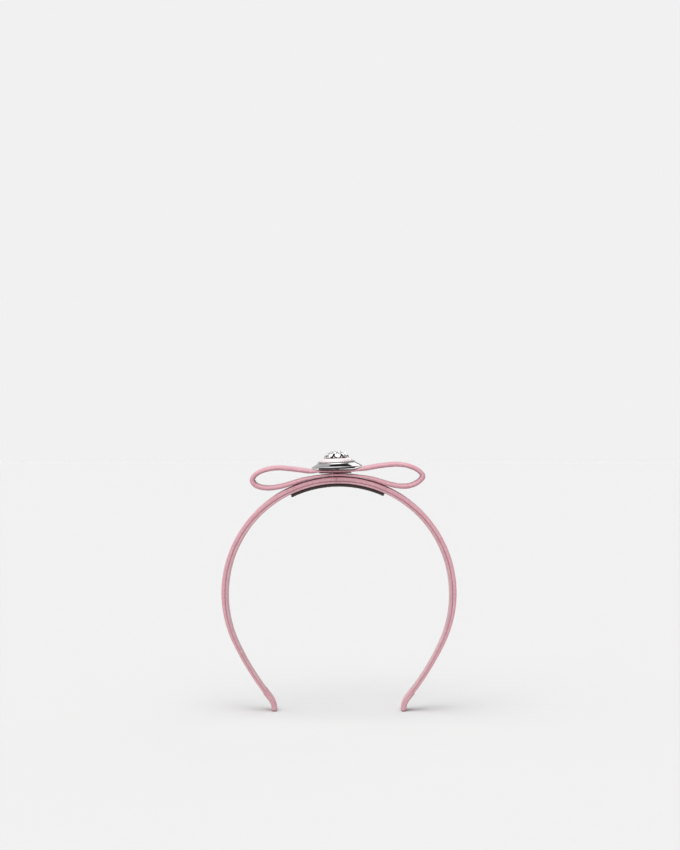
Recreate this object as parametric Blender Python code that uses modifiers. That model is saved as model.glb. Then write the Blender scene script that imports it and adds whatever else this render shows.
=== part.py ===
"""Satin hair band with a flat padded bow and a riveted medallion, standing on its two tips.

Metres, +Z up, front towards -Y. The origin is on the surface that the band stands on, midway
between the tips. The band is a flexible core under padding, an outer satin cover and a satin
lining. Each of those is one strip on the real object, and is cut here at two flex lines, so
that both arms can spread about hinges that stand in for the bending of the spring steel core.
"""

import math
from collections import namedtuple

import bmesh
import bpy
from mathutils import Vector

MM = 0.001
Y_AXIS = Vector((0.0, 1.0, 0.0))

# Band: a round crown, nearly straight legs and short toes that turn back to the vertical.
CROWN_RADIUS = 68.7 * MM
CROWN_TURN = math.radians(115.0)
LEG_RADIUS = 160.0 * MM
LEG_TURN = math.radians(14.0)
TOE_RADIUS = 13.0 * MM
BAND_HALF_WIDTH = 7.5 * MM
BAND_HALF_THICKNESS = 2.2 * MM
TIP_HALF_WIDTH = 6.5 * MM
TIP_HALF_THICKNESS = 1.35 * MM
THINNING = (90.0 * MM, 162.0 * MM)
BAND_STEP = 6.0 * MM
TOE_STEP = 1.8 * MM

# Layers of the band, from the outside in.
WALL = 0.4 * MM
LAYER_GAP = 0.1 * MM
LINING = 0.4 * MM
CORE_THICKNESS = 0.9 * MM
CORE_INSET = 4.0 * MM
HEM_WIDTH = 4.6 * MM

# Flex lines, where an arm turns against the crown.
FLEX_ANGLE = math.radians(30.0)
FLEX_GAP = 0.35 * MM

# Satin wraps that close the tips.
WRAP_LENGTH = 14.0 * MM
WRAP_GAP = 0.1 * MM
TOE_ROOM = 0.3 * MM

# Grip strip under the crown.
GRIP_ANGLES = (math.radians(-26.0), math.radians(24.4))
GRIP_HALF_WIDTH = 5.8 * MM
GRIP_BACKING = 0.4 * MM
GRIP_THICKNESS = 1.3 * MM
GRIP_GAP = 0.1 * MM

# Bow: one strap, from a butt joint on the crown round the right loop, back over the middle and
# round the left loop. The rivet presses it thin in the middle.
STRAP_HALF_WIDTH = 9.0 * MM
STRAP_PRESSED = 0.75 * MM
STRAP_HALF_THICKNESS = 1.45 * MM
STRAP_LOWER_PRESS = (8.0 * MM, 32.0 * MM)
STRAP_UPPER_PRESS = (10.0 * MM, 18.0 * MM)
STRAP_LOWER_TOP = 3.8 * MM
STRAP_WALL = 0.4 * MM
STRAP_SEAT = 28.0 * MM
STRAP_JOINT = -3.9 * MM
STRAP_JOINT_GAP = 0.15 * MM
STRAP_GAP = 0.15 * MM
STAY_X = -2.2 * MM
STAY_LENGTH = 19.4 * MM
STAY_LEAN = 0.016
STAY_HALF_WIDTH = 8.0 * MM
STAY_THICKNESS = 0.5 * MM
STRAP_STEP = 6.0 * MM
STRAP_TURN = math.radians(14.0)
# Points of the loops: across the band, and above the centreline of the crown's top.
RIGHT_LOOP = (
    (36.2, -3.8), (42.2, -3.6), (47.2, -1.6), (50.4, 2.0), (47.8, 5.6), (42.4, 8.2),
    (36.0, 9.25), (30.0, 9.05), (24.0, 8.35), (18.3, 7.3), (12.0, 6.2), (8.0, 5.55),
)
LEFT_LOOP = (
    (-11.5, 5.1), (-17.5, 5.1), (-24.0, 5.95), (-30.0, 6.65), (-36.0, 7.08), (-41.5, 6.6),
    (-47.0, 5.0), (-50.8, 2.5), (-52.1, -0.6), (-49.4, -3.7), (-43.0, -5.0), (-36.0, -4.2),
)

# Thread tacks that hold the bow to the band.
TACK_RADIUS = 0.25 * MM
TACK_STAND_OFF = 0.4 * MM

# Medallion, on its own axis: heights are above the underside of its base.
MEDALLION_X = -1.2 * MM
MEDALLION_LIFT = 6.5 * MM
MEDALLION_TILT = math.radians(-2.7)
RIM_RADIUS = 15.3 * MM
FOOT_RADIUS = 11.0 * MM
UNDERSIDE_RADIUS = 12.2 * MM
TRAY_FLOOR = 0.8 * MM
TRAY_TOP = 3.7 * MM
TRAY_RADIUS = 10.0 * MM
BEAD_RING_RADIUS = 10.8 * MM
BEAD_RADIUS = 0.5 * MM
BEAD_COUNT = 56
ENAMEL_TOP = 5.7 * MM
ENAMEL_TOP_RADIUS = 8.1 * MM
STEM_RADIUS = 4.1 * MM
STEM_BORE = 3.3 * MM
STEM_FOOT = 1.9 * MM
ROSETTE_RADIUS = 8.0 * MM
ROSETTE_TOP = 10.9 * MM
ROSETTE_PETALS = 8
POST_RADIUS = 1.3 * MM
POST_HOLE = 1.6 * MM
POST_HEAD_RADIUS = 3.2 * MM
POST_END = -8.64 * MM
WASHER_RADIUS = 2.6 * MM
WASHER_HOLE_IN_LINING = 3.1 * MM
TURNED_STEPS = 48

Station = namedtuple("Station", "point normal half_width half_thickness")

MATERIALS = {
    "pink_satin": ((0.78, 0.42, 0.49), 0.42, 0.0),
    "lining_satin": ((0.74, 0.40, 0.46), 0.5, 0.0),
    "spring_steel": ((0.50, 0.51, 0.53), 0.35, 1.0),
    "foam": ((0.90, 0.86, 0.82), 0.9, 0.0),
    "stiffener": ((0.85, 0.82, 0.80), 0.85, 0.0),
    "polished_metal": ((0.78, 0.78, 0.79), 0.12, 1.0),
    "pink_enamel": ((0.86, 0.62, 0.66), 0.15, 0.0),
    "grip_cloth": ((0.045, 0.025, 0.022), 0.75, 0.0),
    "grip_backing": ((0.012, 0.008, 0.008), 0.8, 0.0),
    "thread": ((0.76, 0.44, 0.50), 0.6, 0.0),
}


# ---- scene helpers ----------------------------------------------------------------------

def clear_scene():
    for obj in list(bpy.data.objects):
        bpy.data.objects.remove(obj)


def new_collection(name):
    collection = bpy.data.collections.new(name)
    bpy.context.scene.collection.children.link(collection)
    return collection


def material(name):
    found = bpy.data.materials.get(name)
    if found:
        return found
    colour, roughness, metallic = MATERIALS[name]
    made = bpy.data.materials.new(name)
    made.use_nodes = True
    made.diffuse_color = (*colour, 1.0)
    shader = made.node_tree.nodes["Principled BSDF"]
    shader.inputs["Base Color"].default_value = (*colour, 1.0)
    shader.inputs["Roughness"].default_value = roughness
    shader.inputs["Metallic"].default_value = metallic
    return made


def add_object(name, data, finish, collection="hair_band", parent=None):
    """Links a mesh or curve as a named object with its material."""
    obj = bpy.data.objects.new(name, data)
    bpy.data.collections[collection].objects.link(obj)
    if finish:
        data.materials.append(material(finish))
    obj.parent = parent
    return obj


def add_bmesh(name, bm, finish, **where):
    mesh = bpy.data.meshes.new(name)
    bm.to_mesh(mesh)
    bm.free()
    mesh.shade_smooth()
    mesh.set_sharp_from_angle(angle=math.radians(35.0))
    return add_object(name, mesh, finish, **where)


def smoothstep(t):
    t = min(1.0, max(0.0, t))
    return t * t * (3.0 - 2.0 * t)


# ---- the band's line --------------------------------------------------------------------

def band_arcs():
    """The arcs of one side, from the crown's top to the tip: signed radius, start and end heading."""
    leg = CROWN_TURN + LEG_TURN
    return (
        (CROWN_RADIUS, 0.0, CROWN_TURN),
        (LEG_RADIUS, CROWN_TURN, leg),
        (-TOE_RADIUS, leg, math.pi / 2),
    )


def band_length():
    return sum(radius * (end - start) for radius, start, end in band_arcs())


def half_line(s):
    """Offset from the crown's top, and heading below the horizontal, at arc length s down one side."""
    x = z = 0.0
    heading = 0.0
    for radius, start, end in band_arcs():
        length = radius * (end - start)
        heading = end if s > length else start + s / radius
        x += radius * (math.sin(heading) - math.sin(start))
        z += radius * (math.cos(heading) - math.cos(start))
        if s <= length:
            break
        s -= length
    return x, z, heading


CROWN_TOP = -half_line(band_length())[1]
FLEX_S = CROWN_RADIUS * FLEX_ANGLE


def band_station(s, raised=0.0):
    """The band's section at arc length s from the crown's top; negative s is the left side."""
    x, z, heading = half_line(abs(s))
    side = 1.0 if s >= 0.0 else -1.0
    normal = Vector((side * math.sin(heading), 0.0, math.cos(heading)))
    point = Vector((side * x, 0.0, CROWN_TOP + z))
    taper = smoothstep((abs(s) - FLEX_S) / (band_length() - WRAP_LENGTH - FLEX_S))
    thinning = smoothstep((abs(s) - THINNING[0]) / (THINNING[1] - THINNING[0]))
    half_width = BAND_HALF_WIDTH + taper * (TIP_HALF_WIDTH - BAND_HALF_WIDTH)
    half_thickness = BAND_HALF_THICKNESS + thinning * (TIP_HALF_THICKNESS - BAND_HALF_THICKNESS)
    return Station(point + normal * raised, normal, half_width, half_thickness)


def band_stations(start, end, raised=0.0):
    """Stations from start to end, on one grid for all layers, and closer together in the toes."""
    toe = band_length() - TOE_RADIUS * (CROWN_TURN + LEG_TURN - math.pi / 2)
    grid = [n * BAND_STEP for n in range(-40, 41) if abs(n * BAND_STEP) < toe]
    count = int((band_length() - toe) / TOE_STEP) + 1
    for side in (-1.0, 1.0):
        grid += [side * (toe + n * TOE_STEP) for n in range(count)]
    least = 0.4 * TOE_STEP
    inner = [s for s in sorted(grid) if start + least < s < end - least]
    return [band_station(s, raised) for s in (start, *inner, end)]


# ---- sweeping a section along stations ---------------------------------------------------

def rings_of(bm, stations, section):
    """One ring of vertices for each station; section(half_width, half_thickness) gives (y, n)."""
    return [
        [
            bm.verts.new(st.point + Y_AXIS * y + st.normal * n)
            for y, n in section(st.half_width, st.half_thickness)
        ]
        for st in stations
    ]


def bridge(bm, rings, closed):
    """Faces between neighbouring rings, facing along the stations' normals at the top."""
    count = len(rings[0])
    for here, there in zip(rings, rings[1:]):
        for j in range(count if closed else count - 1):
            k = (j + 1) % count
            bm.faces.new((here[j], there[j], there[k], here[k]))


def bar(name, stations, section, finish):
    """A solid strip with capped ends."""
    bm = bmesh.new()
    rings = rings_of(bm, stations, section)
    bridge(bm, rings, closed=True)
    bm.faces.new(rings[0])
    bm.faces.new(rings[-1])
    bmesh.ops.recalc_face_normals(bm, faces=bm.faces)
    return add_bmesh(name, bm, finish)


def skin(name, stations, section, wall, finish, closed=False, capped_end=None):
    """A cloth skin: an open surface with a Solidify modifier that thickens it inwards."""
    bm = bmesh.new()
    rings = rings_of(bm, stations, section)
    bridge(bm, rings, closed)
    if capped_end is not None:
        ring = rings[capped_end]
        bm.faces.new(ring if capped_end == 0 else ring[::-1])
    obj = add_bmesh(name, bm, finish)
    shell = obj.modifiers.new("wall", "SOLIDIFY")
    shell.thickness = wall
    shell.offset = -1.0
    shell.use_even_offset = True
    return obj


def mirrored(half):
    """A section from its front half: the given (y, n) points, then the same ones at +y."""
    return [(-y, n) for y, n in half] + [(y, n) for y, n in reversed(half)]


# ---- sections of the band's layers -------------------------------------------------------

def cover_section(w, h):
    """Outer face, rounded edges, and hems that turn in between the core and the lining."""
    hem = -h + LINING + LAYER_GAP
    return mirrored((
        (w - HEM_WIDTH, hem),
        (w - 0.8 * MM, hem),
        (w, hem + 0.8 * MM),
        (w, h - 1.2 * MM),
        (w - 0.45 * MM, h - 0.35 * MM),
        (w - 1.4 * MM, h),
    ))


def core_levels(h):
    bottom = -h + LINING + WALL + 2 * LAYER_GAP
    return bottom, bottom + CORE_THICKNESS


def core_section(w, h):
    """A flat spring that lies on the hems."""
    bottom, top = core_levels(h)
    edge = 0.2 * MM
    w -= CORE_INSET
    return mirrored((
        (w - edge, bottom), (w, bottom + edge), (w, top - edge), (w - edge, top),
    ))


def padding_section(w, h):
    """Foam over the core and down both its sides."""
    bottom, roof = core_levels(h)
    channel = w - CORE_INSET + LAYER_GAP
    top = h - WALL - LAYER_GAP
    return mirrored((
        (channel, roof + LAYER_GAP), (channel, bottom), (w - 1.4 * MM, bottom),
        (w - 0.8 * MM, bottom + 0.7 * MM), (w - 1.6 * MM, top),
    ))


def lining_section(w, h):
    edge = 0.2 * MM
    w -= edge
    return mirrored(((w - edge, -h), (w, -h + edge), (w, -h + LINING)))


def wrap_section(w, h):
    room = WALL + WRAP_GAP
    w += room
    h += room
    edge = 1.0 * MM
    return mirrored((
        (w - edge, -h), (w - 0.3 * edge, -h + 0.3 * edge), (w, -h + edge),
        (w, h - edge), (w - 0.3 * edge, h - 0.3 * edge), (w - edge, h),
    ))


def flat_section(half_width, low, high, edge=0.2 * MM):
    """A section of fixed size with lightly cut corners, for strips that don't taper."""
    w = half_width
    points = mirrored((
        (w - edge, low), (w, low + edge), (w, high - edge), (w - edge, high),
    ))
    return lambda _w, _h: points


# ---- the band -----------------------------------------------------------------------------

def make_band():
    """The band's four layers in three stretches each. Returns the crown's pieces by layer."""
    end = band_length() - WALL - TOE_ROOM
    stretches = {
        "left_arm": (-end, -FLEX_S - FLEX_GAP),
        "crown": (-FLEX_S + FLEX_GAP, FLEX_S - FLEX_GAP),
        "right_arm": (FLEX_S + FLEX_GAP, end),
    }
    crown = {}
    for stretch, (first, last) in stretches.items():
        stations = band_stations(first, last)
        pieces = {
            "core": bar(f"{stretch}_core", stations, core_section, "spring_steel"),
            "padding": bar(f"{stretch}_padding", stations, padding_section, "foam"),
            "cover": skin(f"{stretch}_satin_cover", stations, cover_section, WALL, "pink_satin"),
            "lining": bar(f"{stretch}_lining", stations, lining_section, "lining_satin"),
        }
        if stretch == "crown":
            crown = pieces
    return crown


def make_end_wraps():
    """A satin wrap that closes each tip, with its mouth up the arm."""
    length = band_length()
    left = band_stations(-length, WRAP_LENGTH - length)
    right = band_stations(length - WRAP_LENGTH, length)
    skin("left_end_wrap", left, wrap_section, WALL, "pink_satin", closed=True, capped_end=0)
    skin("right_end_wrap", right, wrap_section, WALL, "pink_satin", closed=True, capped_end=-1)


def make_grip_strip():
    """The dark strip under the crown, on a thin backing, with square-cut ends."""
    stations = band_stations(*(CROWN_RADIUS * angle for angle in GRIP_ANGLES))
    top = -BAND_HALF_THICKNESS - GRIP_GAP
    backing = flat_section(GRIP_HALF_WIDTH, top - GRIP_BACKING, top, edge=0.1 * MM)
    bar("grip_strip_backing", stations, backing, "grip_backing")
    top -= GRIP_BACKING + LAYER_GAP
    strip = flat_section(GRIP_HALF_WIDTH + 0.3 * MM, top - GRIP_THICKNESS, top)
    bar("grip_strip", stations, strip, "grip_cloth")


# ---- the bow ------------------------------------------------------------------------------

def smooth_curve(points, per_span=12):
    """A Catmull-Rom curve through the points."""
    padded = [2 * points[0] - points[1], *points, 2 * points[-1] - points[-2]]
    curve = []
    for a, b, c, d in zip(padded, padded[1:], padded[2:], padded[3:]):
        for n in range(per_span):
            t = n / per_span
            curve.append(0.5 * (
                2 * b + (c - a) * t + (2 * a - 5 * b + 4 * c - d) * t * t
                + (3 * b - a - 3 * c + d) * t ** 3
            ))
    return [*curve, points[-1]]


def thinned(points, most_step, most_turn):
    """Keeps as few points of a fine curve as its bends need."""
    kept = [0]
    for i in range(1, len(points) - 1):
        last = kept[-1]
        way_in = points[last + 1] - points[last]
        way_out = points[i + 1] - points[i]
        far = (points[i + 1] - points[last]).length > most_step
        if far or way_in.angle(way_out) > most_turn:
            kept.append(i)
    return [points[i] for i in kept] + [points[-1]]


def strap_half_thickness(point):
    """Thin under the medallion; the lower strand thickens more slowly than the upper one."""
    lower = point.z < CROWN_TOP + STRAP_LOWER_TOP
    start, end = STRAP_LOWER_PRESS if lower else STRAP_UPPER_PRESS
    press = smoothstep((abs(point.x - MEDALLION_X) - start) / (end - start))
    return STRAP_PRESSED + press * (STRAP_HALF_THICKNESS - STRAP_PRESSED)


def strap_levels():
    """Heights above the crown's centreline of the lower strand, the stay and the upper strand."""
    lower = BAND_HALF_THICKNESS + STRAP_GAP + STRAP_PRESSED
    stay = lower + STRAP_PRESSED + LAYER_GAP + STAY_THICKNESS / 2
    upper = stay + STAY_THICKNESS / 2 + LAYER_GAP + STRAP_PRESSED
    return lower, stay, upper


def seat_line(start, end, count=4):
    """The strap's centreline where it lies on the crown, between two arc lengths."""
    points = []
    for i in range(count + 1):
        s = start + (end - start) * i / count
        thick = strap_half_thickness(band_station(s).point)
        points.append(band_station(s, BAND_HALF_THICKNESS + STRAP_GAP + thick).point)
    return points


def loop_line(points):
    top = Vector((0.0, 0.0, CROWN_TOP))
    return [top + Vector((x * MM, 0.0, z * MM)) for x, z in points]


def strap_stations():
    _lower, _stay, upper = strap_levels()
    middle = Vector((MEDALLION_X, 0.0, CROWN_TOP + upper))
    line = smooth_curve([
        *seat_line(STRAP_JOINT + STRAP_JOINT_GAP, STRAP_SEAT), *loop_line(RIGHT_LOOP), middle,
        *loop_line(LEFT_LOOP), *seat_line(-STRAP_SEAT, STRAP_JOINT - STRAP_JOINT_GAP),
    ])
    line = thinned(line, STRAP_STEP, STRAP_TURN)
    stations = []
    for i, point in enumerate(line):
        along = line[min(i + 1, len(line) - 1)] - line[max(i - 1, 0)]
        normal = along.normalized().cross(Y_AXIS)
        stations.append(Station(point, normal, STRAP_HALF_WIDTH, strap_half_thickness(point)))
    return stations


def sleeve_section(w, h):
    return mirrored((
        (w - 0.8 * MM, -h), (w - 0.15 * MM, -0.5 * h), (w - 0.15 * MM, 0.5 * h),
        (w - 0.8 * MM, h),
    ))


def stiffener_section(w, h):
    edge = 0.1 * MM
    w -= 1.3 * MM
    h -= STRAP_WALL + LAYER_GAP
    return mirrored(((w - edge, -h), (w, edge - h), (w, h - edge), (w - edge, h)))


def make_bow():
    """The strap's satin sleeve and stiffener, and the stay that bridges its joint."""
    stations = strap_stations()
    sleeve = skin("bow_strap_sleeve", stations, sleeve_section, STRAP_WALL, "pink_satin", closed=True)
    stiffener = bar("bow_strap_stiffener", stations, stiffener_section, "stiffener")
    _lower, level, _upper = strap_levels()
    ends = [
        Station(
            Vector((x, 0.0, CROWN_TOP + level + (x - MEDALLION_X) * STAY_LEAN)),
            Vector((0.0, 0.0, 1.0)), STAY_HALF_WIDTH, STAY_THICKNESS / 2,
        )
        for x in (STAY_X - STAY_LENGTH / 2, STAY_X + STAY_LENGTH / 2)
    ]
    thick = STAY_THICKNESS / 2
    stay = bar("bow_centre_stay", ends, flat_section(STAY_HALF_WIDTH, -thick, thick), "pink_satin")
    return sleeve, stiffener, stay


def thread_bar(name, foot, head):
    """A short straight stitch between two points."""
    curve = bpy.data.curves.new(name, "CURVE")
    curve.dimensions = "3D"
    curve.bevel_depth = TACK_RADIUS
    curve.bevel_resolution = 1
    curve.use_fill_caps = True
    spline = curve.splines.new("POLY")
    spline.points.add(1)
    for point, place in zip(spline.points, (foot, head)):
        point.co = (*place, 1.0)
    return add_object(name, curve, "thread")


def make_tacks():
    """Stitches at both edges: where the bow leaves the band, and by the middle."""
    lower, _stay, upper = strap_levels()
    for edge, side_y in (("front", -1.0), ("back", 1.0)):
        reach = Y_AXIS * side_y * (BAND_HALF_WIDTH + TACK_STAND_OFF)
        for side, s in (("left", -STRAP_SEAT), ("right", STRAP_SEAT)):
            st = band_station(s)
            foot = st.point + reach - st.normal * 0.9 * MM
            head = st.point + reach + st.normal * (BAND_HALF_THICKNESS - 0.2 * MM)
            thread_bar(f"bow_tack_{side}_{edge}", foot, head)
        reach = Y_AXIS * side_y * (STRAP_HALF_WIDTH + TACK_STAND_OFF)
        joint = Vector((STRAP_JOINT, 0.0, CROWN_TOP)) + reach
        thread_bar(
            f"bow_tack_middle_{edge}",
            joint + Vector((0.0, 0.0, lower - 0.3 * MM)), joint + Vector((0.0, 0.0, upper)),
        )


# ---- the medallion --------------------------------------------------------------------------

def turned(name, profile, finish, frame, closed):
    """A profile of (radius, height) turned about the medallion's axis with a Screw modifier."""
    bm = bmesh.new()
    verts = [bm.verts.new((r, 0.0, z)) for r, z in profile]
    for a, b in zip(verts, verts[1:]):
        bm.edges.new((a, b))
    if closed:
        bm.edges.new((verts[-1], verts[0]))
    obj = add_bmesh(name, bm, finish, parent=frame)
    screw = obj.modifiers.new("turn", "SCREW")
    screw.axis = "Z"
    screw.steps = TURNED_STEPS
    screw.render_steps = TURNED_STEPS
    screw.use_merge_vertices = True
    screw.merge_threshold = 0.00001
    screw.use_smooth_shade = False
    return obj


def make_tray(frame):
    """The metal base: a thin foot, a sharp rim, a bevel, and a recess for the enamel ring."""
    profile = (
        (TRAY_RADIUS, TRAY_TOP), (11.7 * MM, TRAY_TOP), (15.1 * MM, 1.6 * MM),
        (RIM_RADIUS, 1.25 * MM), (15.0 * MM, 0.9 * MM), (UNDERSIDE_RADIUS, 0.8 * MM),
        (FOOT_RADIUS, 0.75 * MM), (FOOT_RADIUS, 0.0),
        (POST_HOLE, 0.0), (POST_HOLE, TRAY_FLOOR), (TRAY_RADIUS, TRAY_FLOOR),
    )
    turned("medallion_tray", profile, "polished_metal", frame, closed=True)


def make_bead_ring(frame):
    """A beaded wire ring: a torus that is pinched between its beads."""
    bm = bmesh.new()
    rings = []
    for i in range(2 * BEAD_COUNT):
        angle = math.pi * i / BEAD_COUNT
        out = Vector((math.cos(angle), math.sin(angle), 0.0))
        centre = out * BEAD_RING_RADIUS + Vector((0.0, 0.0, TRAY_TOP + BEAD_RADIUS + LAYER_GAP))
        thick = BEAD_RADIUS * (1.0 if i % 2 == 0 else 0.62)
        rings.append([
            bm.verts.new(centre + thick * (out * math.cos(a) + Vector((0.0, 0.0, math.sin(a)))))
            for a in (math.tau * k / 5 for k in range(5))
        ])
    bridge(bm, [*rings, rings[0]], closed=True)
    bmesh.ops.recalc_face_normals(bm, faces=bm.faces)
    add_bmesh("bead_ring", bm, "polished_metal", parent=frame)


def make_enamel_ring(frame):
    """The pink cone in the tray, bored for the rosette's stem."""
    bore = STEM_RADIUS + 0.3 * MM
    outer = TRAY_RADIUS - 0.2 * MM
    profile = (
        (bore, ENAMEL_TOP), (ENAMEL_TOP_RADIUS, ENAMEL_TOP), (9.2 * MM, 5.1 * MM),
        (outer, 4.3 * MM), (outer, TRAY_FLOOR + LAYER_GAP), (bore, TRAY_FLOOR + LAYER_GAP),
    )
    turned("enamel_ring", profile, "pink_enamel", frame, closed=True)


def make_rosette(frame):
    """A domed flower of eight petals on a hollow stem, pressed from sheet and open underneath.

    Each ring gives radius, height and petal depth, over the top and then back along the inside.
    """
    foot = ENAMEL_TOP + LAYER_GAP
    rings = (
        (1.6 * MM, ROSETTE_TOP - 0.25 * MM, 0.0), (2.6 * MM, ROSETTE_TOP - 1.0 * MM, 0.0),
        (3.0 * MM, ROSETTE_TOP - 1.7 * MM, 0.1), (5.2 * MM, ROSETTE_TOP - 1.9 * MM, 0.22),
        (7.0 * MM, ROSETTE_TOP - 3.2 * MM, 0.2), (ROSETTE_RADIUS, foot + 0.7 * MM, 0.12),
        (ROSETTE_RADIUS, foot, 0.12), (ROSETTE_RADIUS - 0.8 * MM, foot, 0.12),
        (6.6 * MM, ROSETTE_TOP - 3.6 * MM, 0.2), (5.0 * MM, ROSETTE_TOP - 2.9 * MM, 0.1),
        (STEM_RADIUS, ROSETTE_TOP - 2.9 * MM, 0.0), (STEM_RADIUS, STEM_FOOT, 0.0),
        (STEM_BORE, STEM_FOOT, 0.0), (STEM_BORE, ROSETTE_TOP - 2.6 * MM, 0.0),
        (2.0 * MM, ROSETTE_TOP - 1.9 * MM, 0.0),
    )
    count = 4 * ROSETTE_PETALS
    bm = bmesh.new()
    loops = []
    for radius, height, depth in rings:
        loop = []
        for i in range(count):
            angle = math.tau * i / count
            r = radius * (1.0 - depth * (0.5 - 0.5 * math.cos(ROSETTE_PETALS * angle)))
            loop.append(bm.verts.new((r * math.cos(angle), r * math.sin(angle), height)))
        loops.append(loop)
    bridge(bm, loops, closed=True)
    crown = bm.verts.new((0.0, 0.0, ROSETTE_TOP))
    for a, b in zip(loops[0], loops[0][1:] + loops[0][:1]):
        bm.faces.new((a, b, crown))
    bm.faces.new(loops[-1])
    bmesh.ops.recalc_face_normals(bm, faces=bm.faces)
    add_bmesh("rosette", bm, "polished_metal", parent=frame)


def make_post(frame):
    """The rivet that holds the medallion, bow and band together, and its washer."""
    neck = POST_END + 0.42 * MM
    head = TRAY_FLOOR + LAYER_GAP
    turned("medallion_post", (
        (0.0, head + 0.7 * MM), (POST_HEAD_RADIUS, head + 0.7 * MM), (POST_HEAD_RADIUS, head),
        (POST_RADIUS, head), (POST_RADIUS, neck), (2.0 * MM, neck), (2.0 * MM, POST_END),
        (0.0, POST_END),
    ), "polished_metal", frame, closed=False)
    low = neck + 0.05 * MM
    high = low + 0.28 * MM
    turned("post_washer", (
        (POST_HOLE, high), (WASHER_RADIUS, high), (WASHER_RADIUS, low), (POST_HOLE, low),
    ), "polished_metal", frame, closed=True)


def hole_cutter(name, radius, low, high, frame):
    """A cylinder on the medallion's axis that bores the layers for the post."""
    bm = bmesh.new()
    bmesh.ops.create_cone(
        bm, cap_ends=True, segments=24, radius1=radius, radius2=radius, depth=high - low,
    )
    bmesh.ops.translate(bm, verts=bm.verts, vec=(0.0, 0.0, (high + low) / 2))
    cutter = add_bmesh(name, bm, None, collection="cutters", parent=frame)
    cutter.hide_render = True
    cutter.display_type = "WIRE"
    return cutter


def bore(obj, cutter):
    hole = obj.modifiers.new("post_hole", "BOOLEAN")
    hole.operation = "DIFFERENCE"
    hole.object = cutter


def main():
    clear_scene()
    new_collection("hair_band")
    new_collection("cutters")
    crown = make_band()
    make_end_wraps()
    make_grip_strip()
    sleeve, stiffener, stay = make_bow()
    make_tacks()

    frame = bpy.data.objects.new("medallion_axis", None)
    bpy.data.collections["hair_band"].objects.link(frame)
    frame.location = (MEDALLION_X, 0.0, CROWN_TOP + MEDALLION_LIFT)
    frame.rotation_euler = (0.0, MEDALLION_TILT, 0.0)
    make_tray(frame)
    make_bead_ring(frame)
    make_enamel_ring(frame)
    make_rosette(frame)
    make_post(frame)

    lining_top = -MEDALLION_LIFT - BAND_HALF_THICKNESS + LINING + LAYER_GAP / 2
    narrow = hole_cutter("post_bore", POST_HOLE, lining_top, -0.2 * MM, frame)
    wide = hole_cutter("washer_bore", WASHER_HOLE_IN_LINING, -11.0 * MM, lining_top, frame)
    for obj in (crown["cover"], crown["padding"], crown["core"], sleeve, stiffener, stay):
        bore(obj, narrow)
    bore(crown["lining"], wide)


main()
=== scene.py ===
"""Looks of the satin hair band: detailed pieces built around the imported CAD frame.

Metres, +Z up, front towards -Y. The band's line, the strap's line and the medallion's axis are
the ones that the CAD part uses. Every visible soft piece is modelled here as cloth or padding.
"""

import math

import bmesh
import bpy
import numpy as np
from mathutils import Euler, Matrix, Vector, noise


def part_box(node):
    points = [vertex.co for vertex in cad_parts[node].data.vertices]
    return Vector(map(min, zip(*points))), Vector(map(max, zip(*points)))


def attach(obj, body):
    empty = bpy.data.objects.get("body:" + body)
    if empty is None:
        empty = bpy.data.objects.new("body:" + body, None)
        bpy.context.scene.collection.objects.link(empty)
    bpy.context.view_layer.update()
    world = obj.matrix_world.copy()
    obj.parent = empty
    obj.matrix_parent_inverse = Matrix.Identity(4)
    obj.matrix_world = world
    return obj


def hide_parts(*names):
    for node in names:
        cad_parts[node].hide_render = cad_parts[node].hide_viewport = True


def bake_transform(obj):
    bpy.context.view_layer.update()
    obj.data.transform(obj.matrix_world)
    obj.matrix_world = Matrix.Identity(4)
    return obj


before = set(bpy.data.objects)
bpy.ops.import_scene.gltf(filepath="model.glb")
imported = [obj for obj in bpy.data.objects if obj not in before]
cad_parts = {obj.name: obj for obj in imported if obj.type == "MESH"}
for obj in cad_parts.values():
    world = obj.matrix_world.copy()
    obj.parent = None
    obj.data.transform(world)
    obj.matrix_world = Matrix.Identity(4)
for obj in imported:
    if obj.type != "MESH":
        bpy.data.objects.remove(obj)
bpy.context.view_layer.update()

MM = 0.001
Y_AXIS = Vector((0.0, 1.0, 0.0))
SIDES = (("left", -1.0), ("right", 1.0))

# Band line: a round crown, nearly straight legs and short toes.
CROWN_RADIUS = 68.7 * MM
CROWN_TURN = math.radians(115.0)
LEG_RADIUS = 160.0 * MM
LEG_TURN = math.radians(14.0)
TOE_RADIUS = 13.0 * MM
BAND_HALF_WIDTH = 7.5 * MM
BAND_HALF_THICKNESS = 2.2 * MM
TIP_HALF_WIDTH = 6.5 * MM
TIP_HALF_THICKNESS = 1.35 * MM
THINNING = (90.0 * MM, 162.0 * MM)
TIP_TUCK = 0.15 * MM
FLEX_S = CROWN_RADIUS * math.radians(30.0)
BEND_START = 28.6 * MM
BEND_END = 48.0 * MM

CLOTH = 0.38 * MM
THIN_CLOTH = 0.36 * MM
TOP_DROP = 0.20 * MM
LAYER_GAP = 0.1 * MM
CORE_THICKNESS = 0.9 * MM
CORE_INSET = 4.0 * MM
HEM_WIDTH = 4.6 * MM
WRAP_LENGTH = 14.0 * MM
WRAP_ROOM = 0.3 * MM
WRAP_EDGE = 1.5 * MM
WRAP_CORNER = 1.1 * MM
WRAP_CREASE = 0.42 * MM
WRAP_CREASE_REACH = 0.28 * MM
STITCH_STEP = 4.2 * MM
STITCH_RADIUS = 0.075 * MM

GRIP_ENDS = (CROWN_RADIUS * math.radians(-26.0), CROWN_RADIUS * math.radians(24.4))
GRIP_HALF_WIDTH = 5.8 * MM
GRIP_OVERHANG = 0.3 * MM
GRIP_BACKING = 0.4 * MM
GRIP_THICKNESS = 1.3 * MM
GRIP_NAP = 0.05 * MM

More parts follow.
